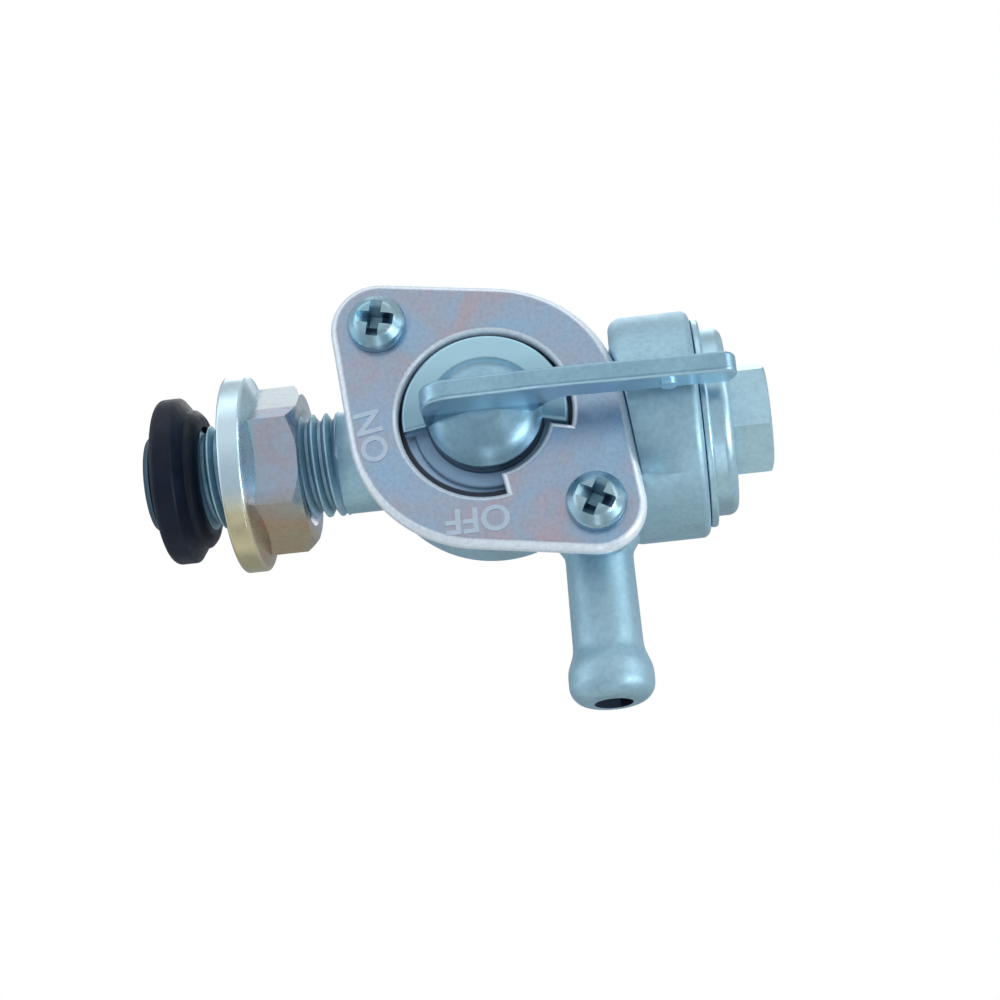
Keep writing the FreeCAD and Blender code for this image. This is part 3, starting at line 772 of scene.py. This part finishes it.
def surroundings(up, back):
    """White to the camera, and to the metal a soft room that is bright above and at the sides."""
    world = bpy.data.worlds.new("studio")
    bpy.context.scene.world = world
    world.use_nodes = True
    studio = Nodes(world.node_tree)
    place = studio.new("ShaderNodeTexCoord").outputs["Generated"]
    shades = []
    for axis, stops in ((up, ROOM_BY_HEIGHT), (back, ROOM_BY_DEPTH)):
        along = studio.vector("DOT_PRODUCT", place, axis)["Value"]
        shades.append(studio.ramp(studio.span(along, 0.0, 1.0, -1.0, 1.0), stops))
    room = studio.new("ShaderNodeBackground", Strength=ROOM_STRENGTH)
    studio.link(studio.mix(1.0, *shades, "MULTIPLY"), room.inputs["Color"])
    seen = studio.new("ShaderNodeBackground", Color=rgba(WHITE))
    path = studio.new("ShaderNodeLightPath")
    choice = studio.new("ShaderNodeMixShader")
    studio.link(path.outputs["Is Camera Ray"], choice.inputs["Fac"])
    studio.link(room.outputs["Background"], choice.inputs[1])
    studio.link(seen.outputs["Background"], choice.inputs[2])
    output = studio.new("ShaderNodeOutputWorld")
    studio.link(choice.outputs["Shader"], output.inputs["Surface"])


def floor():
    """Pale round floor below the object."""
    bm = bmesh.new()
    bmesh.ops.create_circle(bm, cap_ends=True, segments=FLOOR_SEGMENTS, radius=FLOOR_RADIUS)
    mesh = bpy.data.meshes.new("floor")
    bm.to_mesh(mesh)
    bm.free()
    obj = new_piece("floor", mesh)
    obj.location.z = FLOOR_Z
    finish = Finish("pale_floor", Roughness=0.8)
    light, dark = FLOOR_GREYS
    tint = finish.ramp(finish.noise(size_mm=60.0), [(0.3, dark), (0.7, light)])
    finish.link(tint, finish.shader.inputs["Base Color"])
    dress(obj, finish.material)


body_painted_shade = [barb_bore_painted_shade, stem_bore_painted_shade, thread_painted_shade, recess_painted_shade]
lever_tints_painted_light_and_shade = [dull_core, foot_painted_light_and_shade, hub_wall_painted_shade, collar_painted_light_and_shade, blade_painted_light]
nut_tints_and_painted_light = [painted_light_on_facets, nut_cone_blue_and_rim_highlight, warm_side_painted_reflection]
valve_rubber = rubber("valve_rubber", VALVE_RUBBER)

finishes = {
    "tap_body": cast_zinc("cast_zinc", BODY_ZINC, rough=(0.44, 0.56), overlays=body_painted_shade),
    "cover_plate": plated_plate("plated_steel"),
    "lever": cast_zinc("lever_zinc", LEVER_ZINC, rough=(0.28, 0.42), overlays=lever_tints_painted_light_and_shade),
    "wave_washer": bright_zinc("spring_steel", SPRING_STEEL, rough=(0.2, 0.3)),
    "valve_packing": valve_rubber,
    "strainer_bowl": cast_zinc("bowl_zinc", BOWL_ZINC, rough=(0.28, 0.42)),
    "bowl_o_ring": valve_rubber,
    "strainer_frame": moulded_nylon("strainer_nylon"),
    "strainer_gauze": woven_gauze("brass_gauze"),
    "tank_nut": bright_zinc("nut_steel", NUT_STEEL, rough=(0.22, 0.34), overlays=nut_tints_and_painted_light),
    "tank_seal": rubber("seal_rubber", SEAL_RUBBER),
}
for name in ("plate_screw_upper", "plate_screw_lower"):
    recess_shade = screw_recess_painted_shade(name)
    finishes[name] = bright_zinc(name + "_steel", SCREW_STEEL, rough=(0.24, 0.36), overlays=[recess_shade])
for name, material in finishes.items():
    dress(frame["nodes"][name], material)

body = threaded_body()
dress(body, finishes["tap_body"])
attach(body, "body")
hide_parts("tap_body")

letter_steel = bright_zinc("letter_steel", LETTER_STEEL, rough=(0.28, 0.4))
for name, text, centre, turn_deg, width in LETTERS:
    word = letters(name, text, centre, turn_deg, width)
    dress(word, letter_steel)
    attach(word, "body")

right, up, back = camera()
surroundings(up, back)
floor()
for name, (rightward, upward, backward), distance, size, brightness, colour in LIGHTS:
    direction = right * rightward + up * upward + back * backward
    softbox(name, direction, distance, size, brightness, colour)

bpy.context.scene.view_settings.view_transform = "Standard"
bpy.context.scene.view_settings.look = "None"

bpy.context.view_layer.update()
